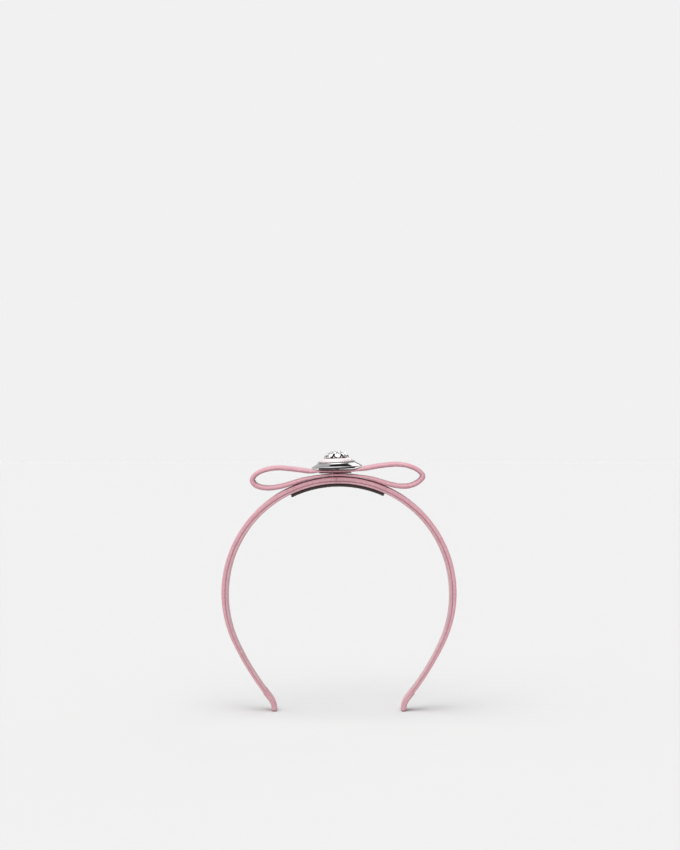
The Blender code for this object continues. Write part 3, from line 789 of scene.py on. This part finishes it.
def make_end_wraps():
    """The satin cap over each tip: a folded mouth up the arm, a crease and a rounded, flat foot."""
    downs = [14.0, 13.85, 13.6, 13.2, 12.6] + [12.0 - 0.6 * i for i in range(18)]
    downs += [1.1, 0.8, 0.55, 0.35, 0.2, 0.1, 0.03, 0.0, 0.0, 0.0]
    last = len(downs) - 1
    foot = {last - 1: 0.45 * MM, last: 0.9 * MM}
    for label, side in SIDES:
        rows, marks = [], []
        for index, down in enumerate(downs):
            down *= MM
            s = side * (BAND_LENGTH - down)
            section = wrap_section(s)
            w = max(y for y, _n in section)
            h = max(n for _y, n in section)
            inset = 0.0
            if down < WRAP_CORNER:
                inset = WRAP_CORNER - math.sqrt(max(0.0, WRAP_CORNER ** 2 - (WRAP_CORNER - down) ** 2))
            flat = foot.get(index, 0.0)
            lip = 0.09 * MM * smoothstep((down - 12.9 * MM) / (0.5 * MM))
            if index == 0:
                lip -= 0.1 * MM
            row = []
            for y, n in section:
                fy = (w - inset * 0.8 - flat) / w
                fn = (h - inset * 0.75 - flat * 0.7) / h
                ripple = 0.05 * MM * wander(y / MM * 0.5, n / MM, down / MM * 0.6)
                ripple *= smoothstep(down / (3 * MM))
                y2, n2 = y * fy, n * fn
                length = math.hypot(y2, n2) or 1.0
                reach = lip + ripple
                y2 += reach * y2 / length * (0.4 if abs(y2) < w - 1.5 * MM else 1.0)
                n2 += reach * (n2 / h)
                slope = 0.9 * MM * (0.5 + 0.5 * n / h) * smoothstep((down - 11.0 * MM) / (3.0 * MM))
                point, normal = band_at(s + side * slope)
                row.append(point + Y_AXIS * y2 + normal * n2)
                marks.append(smoothstep((abs(y) - w + 0.5 * MM) / (0.4 * MM)))
            rows.append(row)
        _point, normal = band_at(side * (BAND_LENGTH - 8 * MM))
        wrap = grid(f"end_wrap_{label}", rows, "wrap", (8, None, normal), closed=True, caps=(-1,),
                    marks={"fold": marks})
        thicken(wrap, THIN_CLOTH)
        stand_in(wrap, f"{label}_arm", f"{label}_end_wrap")


def make_grip():
    """The dark grip under the crown: a thin backing and a napped strip with square-cut ends."""
    top = -BAND_HALF_THICKNESS - LAYER_GAP
    layers = (
        ("grip_backing_cloth", "grip_strip_backing", "grip_backing", top, GRIP_BACKING,
         GRIP_HALF_WIDTH, 0.0),
        ("grip_pile_strip", "grip_strip", "grip", top - GRIP_BACKING - LAYER_GAP, GRIP_THICKNESS,
         GRIP_HALF_WIDTH + GRIP_OVERHANG, GRIP_NAP),
    )
    for name, node, slot, high, thick, width, rough in layers:
        rows = []
        count = 220
        e = min(0.3 * thick, 0.32 * MM)
        base = [(width - e, high - thick), (width - 0.3 * e, high - thick + 0.3 * e),
                (width, high - thick + e), (width, high - 0.5 * thick), (width, high - e),
                (width - 0.3 * e, high - 0.3 * e), (width - e, high)]
        under = [(width * t, high - thick) for t in (0.25, 0.5, 0.75)]
        over = [(width * t, high) for t in (0.75, 0.5, 0.25)]
        section = mirrored(under + base + over)
        for i in range(count + 1):
            s = mixed(*GRIP_ENDS, i / count)
            near = min(i, count - i)
            pull = (0.25 * MM, 0.08 * MM, 0.0)[min(near, 2)]
            row = []
            point, normal = band_at(s)
            for y, n in section:
                fuzz = rough * wander(s / MM * 1.9, y / MM * 1.3, n / MM * 1.9)
                ny = y - math.copysign(min(abs(y), pull), y)
                ny += math.copysign(fuzz, y) * (abs(y) > width - 0.01 * MM)
                nn = n + (fuzz if n < high - 0.6 * thick else 0.0)
                nn = mixed(nn, high - thick / 2, pull / (0.5 * MM))
                row.append(point + Y_AXIS * ny + normal * nn)
            rows.append(row)
        obj = grid(name, rows, slot, (4, None, band_at(0.0)[1]), closed=True, caps=(0, -1))
        obj.data.set_sharp_from_angle(angle=math.radians(50.0))
        stand_in(obj, "crown", node)


# ---- the bow ----

def smooth_curve(points, per_span=12):
    """A Catmull-Rom curve through the points."""
    padded = [2 * points[0] - points[1], *points, 2 * points[-1] - points[-2]]
    curve = []
    for a, b, c, d in zip(padded, padded[1:], padded[2:], padded[3:]):
        for n in range(per_span):
            t = n / per_span
            curve.append(0.5 * (
                2 * b + (c - a) * t + (2 * a - 5 * b + 4 * c - d) * t * t
                + (3 * b - a - 3 * c + d) * t ** 3
            ))
    return [*curve, points[-1]]


def strap_half_thickness(point):
    """Thin under the medallion; the lower strand thickens more slowly than the upper one."""
    start, end = STRAP_LOWER_PRESS if point.z < CROWN_TOP + STRAP_LOWER_TOP else STRAP_UPPER_PRESS
    press = smoothstep((abs(point.x - MEDALLION_X) - start) / (end - start))
    return mixed(STRAP_PRESSED, STRAP_HALF_THICKNESS, press)


def strap_levels():
    lower = BAND_HALF_THICKNESS + STRAP_GAP + STRAP_PRESSED
    stay = lower + STRAP_PRESSED + LAYER_GAP + STAY_THICKNESS / 2
    upper = stay + STAY_THICKNESS / 2 + LAYER_GAP + STRAP_PRESSED
    return lower, stay, upper


def seat_line(start, end):
    """The strap's middle line where it lies on the band."""
    count = 4
    points = []
    for i in range(count + 1):
        s = start + (end - start) * i / count
        point, normal = band_at(s)
        points.append(point + normal * (BAND_HALF_THICKNESS + STRAP_GAP + strap_half_thickness(point)))
    return points


def strap_line():
    """(point, normal, half thickness) along the strap."""
    top = upright(0.0, CROWN_TOP)
    loops = [[top + upright(x * MM, z * MM) for x, z in loop] for loop in (RIGHT_LOOP, LEFT_LOOP)]
    middle = upright(MEDALLION_X, CROWN_TOP + strap_levels()[2])
    line = smooth_curve([
        *seat_line(STRAP_JOINT + STRAP_JOINT_GAP, STRAP_SEAT), *loops[0], middle,
        *loops[1], *seat_line(-STRAP_SEAT, STRAP_JOINT - STRAP_JOINT_GAP),
    ])
    stations = []
    for i, point in enumerate(line):
        along = line[min(i + 1, len(line) - 1)] - line[max(i - 1, 0)]
        normal = along.normalized().cross(Y_AXIS)
        stations.append((point, normal, strap_half_thickness(point)))
    return stations


def pinch(x):
    """How gathered the strap is beside the medallion: none under it, most at its rim."""
    away = abs(x - MEDALLION_X)
    return smoothstep((away - 3.0 * MM) / (7.0 * MM)) * (1.0 - smoothstep((away - 12.0 * MM) / (13.0 * MM)))


def rounded_strip(stations, half_width, name, finish, edge_count=13, texture=0.03 * MM, gather=0.0):
    """A padded strip with rounded edges, closed round its section."""
    rows, marks = [], []
    travelled = 0.0
    previous = stations[0][0]
    for point, normal, thick in stations:
        travelled += (point - previous).length
        previous = point
        wave = 0.05 * MM * wander(travelled / MM * 0.11, 3.0) if texture else 0.0
        width = half_width - 0.05 * MM + wave
        half = [(t * (width - thick), -1.0, -(thick - 0.05 * MM * t * t)) for t in (0.12, 0.36, 0.6, 0.82)]
        for y, n in arc(width - thick, 0.0, thick, thick - 0.05 * MM, -90.0, 90.0, edge_count):
            half.append((y, n / thick, n))
        half += [(t * (width - thick), 1.0, thick - 0.05 * MM * t * t) for t in (0.82, 0.6, 0.36, 0.12)]
        section = [(-y, k, n) for y, k, n in half] + [(y, k, n) for y, k, n in reversed(half)]
        row = []
        for y, k, n in section:
            bumpy = texture * wander(travelled / MM * 0.16, y / MM * 0.24, k)
            pleat = gather * pinch(point.x) * math.cos(y / MM * 2.3 + 0.8 * k) * abs(k)
            inwards = -abs(bumpy) * 0.6 - abs(pleat)
            row.append(point + Y_AXIS * y + normal * (n + math.copysign(1.0, k) * inwards * abs(k)))
            marks.append(smoothstep((abs(y) - width + 0.4 * MM) / (0.35 * MM)))
        rows.append(row)
    return grid(name, rows, finish, (3, None, stations[3][1]), closed=True, marks={"fold": marks})


def close_ends(obj):
    """Fills the open ends of a strip."""
    bm = bmesh.new()
    bm.from_mesh(obj.data)
    bmesh.ops.holes_fill(bm, edges=[e for e in bm.edges if e.is_boundary], sides=0)
    bm.to_mesh(obj.data)
    bm.free()


def medallion_matrix():
    place = Matrix.Translation(upright(MEDALLION_X, CROWN_TOP + MEDALLION_LIFT))
    return place @ Euler((0.0, MEDALLION_TILT, 0.0)).to_matrix().to_4x4()


def make_cutter():
    bm = bmesh.new()
    bmesh.ops.create_cone(bm, cap_ends=True, segments=32, radius1=POST_HOLE, radius2=POST_HOLE,
                          depth=9 * MM)
    bmesh.ops.translate(bm, verts=bm.verts, vec=(0.0, 0.0, -4.6 * MM))
    mesh = bpy.data.meshes.new("cutter")
    bm.to_mesh(mesh)
    bm.free()
    mesh.transform(medallion_matrix())
    obj = new_object("cutter", mesh)
    obj.hide_render = True
    return obj


def make_bow():
    cutter = make_cutter()
    line = strap_line()
    sleeve = rounded_strip(line, STRAP_HALF_WIDTH, "bow_sleeve", "strap", gather=0.14 * MM)
    thicken(sleeve, THIN_CLOTH)
    pierce(sleeve, cutter)
    stand_in(sleeve, "crown", "bow_strap_sleeve")

    inner = [(p, n, t - 0.56 * MM) for p, n, t in line[1:-1:3]]
    stiffener = rounded_strip(inner, STRAP_HALF_WIDTH - 1.35 * MM, "bow_interlining", "stiffener", 5,
                              texture=0.0)
    close_ends(stiffener)
    pierce(stiffener, cutter)
    stand_in(stiffener, "crown", "bow_strap_stiffener")

    _lower, level, _upper = strap_levels()
    stations = []
    for i in range(31):
        x = STAY_X + STAY_LENGTH * (i / 30 - 0.5)
        end = min(i, 30 - i)
        thick = STAY_THICKNESS / 2 * (0.55, 0.82, 0.95, 1.0)[min(end, 3)]
        point = upright(x, CROWN_TOP + level + (x - MEDALLION_X) * STAY_LEAN)
        stations.append((point, upright(0.0, 1.0), thick))
    stay = rounded_strip(stations, STAY_HALF_WIDTH, "bow_stay", "stay", 9, texture=0.02 * MM)
    close_ends(stay)
    pierce(stay, cutter)
    stand_in(stay, "crown", "bow_centre_stay")
    bpy.data.objects.remove(cutter)


def make_tacks():
    """Three strands of thread at each tack, drawn tight into the cloth."""
    lower, _stay, upper = strap_levels()
    for edge, side_y in (("front", -1.0), ("back", 1.0)):
        places = []
        for label, s in (("left", -STRAP_SEAT), ("right", STRAP_SEAT)):
            point, normal = band_at(s)
            reach = Y_AXIS * side_y * (BAND_HALF_WIDTH + TACK_STAND_OFF - 0.1 * MM)
            places.append((label, point + reach - normal * 0.9 * MM,
                           point + reach + normal * (BAND_HALF_THICKNESS - 0.2 * MM)))
        reach = Y_AXIS * side_y * (STRAP_HALF_WIDTH + TACK_STAND_OFF - 0.12 * MM)
        joint = upright(STRAP_JOINT, CROWN_TOP) + reach
        places.append(("middle", joint + upright(0.0, lower - 0.3 * MM), joint + upright(0.0, upper)))
        for label, foot, head in places:
            strands = []
            along = (head - foot).normalized()
            across = along.cross(Y_AXIS)
            for k, shift in enumerate(TACK_STRANDS):
                path = []
                for i in range(9):
                    t = i / 8
                    sway = shift * MM * (0.35 + 0.65 * math.sin(math.pi * t))
                    sway += 0.02 * MM * math.sin(5 * t + k)
                    sunk = -side_y * 0.16 * MM * abs(2 * t - 1) ** 3
                    path.append(foot.lerp(head, t) + across * sway + Y_AXIS * sunk)
                strands.append(tube("strand", path, TACK_RADIUS, "thread"))
            made = join(strands, f"tack_{label}_{edge}")
            stand_in(made, "crown", f"bow_tack_{label}_{edge}")


# ---- the medallion ----

def turned(name, profile, finish, steps=192, painted_shade=None):
    """A closed profile of (radius, height) in millimetres turned about the medallion's axis."""
    rows = []
    for i in range(steps):
        a = math.tau * i / steps
        rows.append([(r * MM * math.cos(a), r * MM * math.sin(a), z * MM) for r, z in profile])
    # painted_shade gives, by height, how strongly each ring of points takes painted shade.
    marks = [painted_shade(z) if painted_shade else 0.0 for _ in range(steps) for _r, z in profile]
    k = max(range(len(profile) - 1), key=lambda j: profile[j][0] + profile[j + 1][0])
    obj = grid(name, rows, finish, (0, k, (1.0, 0.0, 0.0)), closed=True, looped=True,
               marks={"painted_shade": marks})
    obj.data.set_sharp_from_angle(angle=math.radians(40.0))
    obj.data.transform(medallion_matrix())
    return obj


def rounded_profile(points, radius=0.08, count=3):
    """A closed profile with each corner cut by a small arc."""
    out = []
    n = len(points)
    for i, (x, y) in enumerate(points):
        p, a, b = Vector((x, y)), Vector(points[i - 1]), Vector(points[(i + 1) % n])
        da, db = (a - p), (b - p)
        cut = min(radius, 0.45 * da.length, 0.45 * db.length)
        start, end = p + da.normalized() * cut, p + db.normalized() * cut
        for k in range(count + 1):
            t = k / count
            q = start.lerp(p, t).lerp(p.lerp(end, t), t)
            out.append((q.x, q.y))
    return out


def make_medallion():
    # Painted shadow: the tray's underside and foot, up to about 1 mm high, are marked for painted shade.
    tray = turned("medallion_tray_metal", rounded_profile(TRAY_PROFILE, radius=0.10), "tray",
                  painted_shade=lambda z: 1.0 - smoothstep((z - 0.72) / 0.3))
    stand_in(tray, "crown", "medallion_tray")

    rows, marks = [], []
    per_bead = 10
    bead_level = TRAY_TOP + BEAD_RADIUS + LAYER_GAP
    for i in range(BEAD_COUNT * per_bead):
        a = math.tau * i / (BEAD_COUNT * per_bead)
        local = (i % per_bead) / per_bead * 2.0 - 1.0
        bulge = math.sqrt(max(0.0, 1.0 - (abs(local) * 0.97) ** 2.2))
        thick = BEAD_RADIUS * mixed(0.34, 1.0, bulge)
        out = Vector((math.cos(a), math.sin(a), 0.0))
        centre = out * BEAD_RING_RADIUS + upright(0.0, bead_level)
        rows.append([
            centre + thick * (out * math.cos(t) + upright(0.0, math.sin(t)))
            for t in (math.tau * k / 14 for k in range(14))
        ])
        # Painted shade between the beads: the narrow necks are marked darker.
        marks += [smoothstep((0.75 - bulge) / 0.6)] * 14
    corner = sum((rows[i][j] for i in (0, 1) for j in (0, 1)), Vector()) / 4
    way = corner - upright(BEAD_RING_RADIUS, bead_level)
    beads = grid("bead_ring_metal", rows, "beads", (0, 0, way), closed=True, looped=True,
                 marks={"painted_shade": marks})
    beads.data.transform(medallion_matrix())
    stand_in(beads, "crown", "bead_ring")

    enamel = turned("enamel_cone", rounded_profile(ENAMEL_PROFILE, radius=0.25, count=4), "enamel")
    stand_in(enamel, "crown", "enamel_ring")
    make_rosette()


def leaf(name, spine, widths, angle, camber, ribs, thickness=0.32):
    """A curled leaf: a strip along a spine of (radius, height) in millimetres, with veins."""
    pts = smooth_curve([upright(r, z) for r, z in spine], per_span=6)
    n = len(pts)
    rows, marks = [], []
    cols = 13
    for i, p in enumerate(pts):
        t = i / (n - 1)
        position = t * (len(widths) - 1)
        base = min(int(position), len(widths) - 2)
        width = mixed(widths[base], widths[base + 1], smoothstep(position - base))
        width *= 1.0 + 0.10 * math.cos(t * 21.0) * smoothstep(4 * t) * smoothstep(5 * (1 - t))
        along = (pts[min(i + 1, n - 1)] - pts[max(i - 1, 0)]).normalized()
        normal = upright(-along.z, along.x)
        row = []
        for j in range(cols):
            v = j / (cols - 1) * 2.0 - 1.0
            rise = camber * (1.0 - v * v) + ribs * math.cos(v * 3.0 * math.pi) * 0.5
            row.append(p + Y_AXIS * (v * width) + normal * rise)
            # Painted shade in the grooves between the leaf's ribs.
            groove_shade = smoothstep((0.15 - math.cos(v * 3.0 * math.pi) * 0.5) * 1.1)
            marks.append(groove_shade * (0.5 if abs(v) < 0.9 else 0.0))
        rows.append([tuple(q * MM) for q in row])
    obj = grid(name, rows, "leaves", (n // 3, cols // 2, (0.1, 0.0, 1.0)), marks={"painted_shade": marks})
    thicken(obj, thickness * MM)
    settle(obj)
    obj.data.transform(Matrix.Rotation(angle, 4, "Z"))
    return obj


def ball(name, place, turn, radius, rings=10):
    """A bead at (radius, height), turned about the axis, all in millimetres."""
    x, y, z = place[0] * math.cos(turn), place[0] * math.sin(turn), place[1]
    rows = []
    for i in range(1, rings):
        a = math.pi * i / rings
        rows.append([
            ((x + radius * math.sin(a) * math.cos(t)) * MM, (y + radius * math.sin(a) * math.sin(t)) * MM,
             (z + radius * math.cos(a)) * MM)
            for t in (math.tau * k / 16 for k in range(16))
        ])
    return grid(name, rows, "leaves", (3, 0, (1.0, 0.0, 0.0)), closed=True, caps=(0, -1),
                marks={"painted_shade": [0.0] * (16 * len(rows))})


def make_rosette():
    """A generic rosette of curled leaves over a dulled ground."""
    ground = turned("rosette_ground", rounded_profile(GROUND_PROFILE, radius=0.15), "ground", steps=96)
    stand_in(ground, "crown", "rosette")

    turns = [math.tau * (k + 0.18) / LEAF_COUNT for k in range(LEAF_COUNT)]
    between = [math.tau * (k + 0.68) / LEAF_COUNT for k in range(LEAF_COUNT)]
    pieces = [leaf("leaf", LEAF_SPINE, LEAF_WIDTHS, turn, 0.34, 0.16) for turn in turns]
    pieces += [leaf("curl", CURL_SPINE, CURL_WIDTHS, turn, 0.2, 0.1, thickness=0.26) for turn in between]
    pieces += [ball("berry", BERRY_PLACE, turn, BERRY_RADIUS) for turn in between]
    pieces.append(ball("boss", (0.0, BOSS_HEIGHT), 0.0, BOSS_RADIUS, rings=14))
    pieces += [
        ball("grain", GRAIN_PLACE, math.tau * k / GRAIN_COUNT, GRAIN_RADIUS) for k in range(GRAIN_COUNT)
    ]
    leaves = join(pieces, "rosette_leaves")
    leaves.data.transform(medallion_matrix())
    stand_in(leaves, "crown", "rosette")


def dress_rivet():
    """The rivet and its washer stay as CAD nodes, with a metal finish."""
    for node in ("medallion_post", "post_washer"):
        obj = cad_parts[node]
        obj.data.materials.clear()
        obj.data.materials.append(FINISH["rivet"])


# ---- studio ----

def make_floor():
    corners = [(x * FLOOR_HALF, y * FLOOR_HALF, 0.0) for x, y in ((-1, -1), (1, -1), (1, 1), (-1, 1))]
    mesh = bpy.data.meshes.new("floor")
    mesh.from_pydata(corners, [], [(0, 1, 2, 3)])
    floor = new_object("floor", mesh)
    floor.location.z = -FLOOR_DROP
    made = bpy.data.materials.new("pale_floor")
    tree = bare_tree(made)
    grey = (FLOOR_ALBEDO, FLOOR_ALBEDO, FLOOR_ALBEDO, 1.0)
    diffuse = add_node(tree, "ShaderNodeBsdfDiffuse", {"Color": grey})
    add_node(tree, "ShaderNodeOutputMaterial", {"Surface": diffuse.outputs[0]})
    mesh.materials.append(made)


# Light by direction: (direction, half angle, soft edge in degrees, radiance). Later ones cover earlier.
LIGHTS = (
    ((-0.10, -0.15, 1.0), 22.0, 18.0, 2.9),
    ((-0.17, -0.92, 0.90), 18.0, 15.0, 4.4),
    ((-0.10, -1.0, 0.16), 16.0, 14.0, 1.4),
    ((-1.0, -0.30, 0.22), 24.0, 20.0, 1.3),
    ((1.0, -0.20, 0.10), 26.0, 20.0, 0.36),
    ((0.30, 0.80, 0.55), 13.0, 5.0, 2.4),
    ((-0.55, 0.75, 0.5), 22.0, 12.0, 0.80),
    ((0.06, 0.52, 0.86), 13.5, 3.0, 0.03),
    ((0.25, 0.97, 0.12), 9.0, 4.0, 0.04),
)
SKY_LOW, SKY_HIGH = 0.46, 0.80


def mix_levels(tree, factor, a, b):
    return add_node(tree, "ShaderNodeMix", {"Factor": factor, "A": a, "B": b}, data_type="FLOAT").outputs[0]


def make_world():
    world = bpy.data.worlds.new("studio")
    bpy.context.scene.world = world
    tree = bare_tree(world)
    direction = add_node(tree, "ShaderNodeTexCoord").outputs["Generated"]
    height = add_node(tree, "ShaderNodeSeparateXYZ", {0: direction}).outputs[2]
    level = add_node(
        tree, "ShaderNodeMapRange",
        {"Value": height, "From Min": 0.0, "From Max": 0.9, "To Min": SKY_LOW, "To Max": SKY_HIGH},
    ).outputs[0]
    for way, inner, soft, radiance in LIGHTS:
        way = tuple(Vector(way).normalized())
        dot = add_node(tree, "ShaderNodeVectorMath", {0: direction, 1: way}, operation="DOT_PRODUCT")
        mask = add_node(
            tree, "ShaderNodeMapRange",
            {
                "Value": dot.outputs["Value"], "From Min": math.cos(math.radians(inner + soft)),
                "From Max": math.cos(math.radians(inner)), "To Min": 0.0, "To Max": 1.0,
            },
            interpolation_type="SMOOTHSTEP",
        ).outputs[0]
        level = mix_levels(tree, mask, level, radiance)
    seen = add_node(tree, "ShaderNodeLightPath").outputs["Is Camera Ray"]
    level = mix_levels(tree, seen, level, PAPER)
    background = add_node(tree, "ShaderNodeBackground", {"Color": (1.0, 1.0, 1.0, 1.0), "Strength": level})
    add_node(tree, "ShaderNodeOutputWorld", {"Surface": background.outputs[0]})
    world.cycles.sampling_method = "MANUAL"
    world.cycles.sample_map_resolution = 1024


def make_camera():
    data = bpy.data.cameras.new("camera")
    data.lens = CAMERA_LENS
    data.sensor_width = 36.0
    data.clip_start = 0.05
    data.clip_end = 60.0
    camera = new_object("camera", data)
    camera.location = CAMERA_PLACE
    camera.rotation_euler = (math.radians(90.0), 0.0, 0.0)
    bpy.context.scene.camera = camera


make_band()
make_seam_stitches()
make_end_wraps()
make_grip()
make_bow()
make_tacks()
make_medallion()
dress_rivet()
make_floor()
make_world()
make_camera()
bpy.context.scene.view_settings.view_transform = "Standard"

bpy.context.view_layer.update()
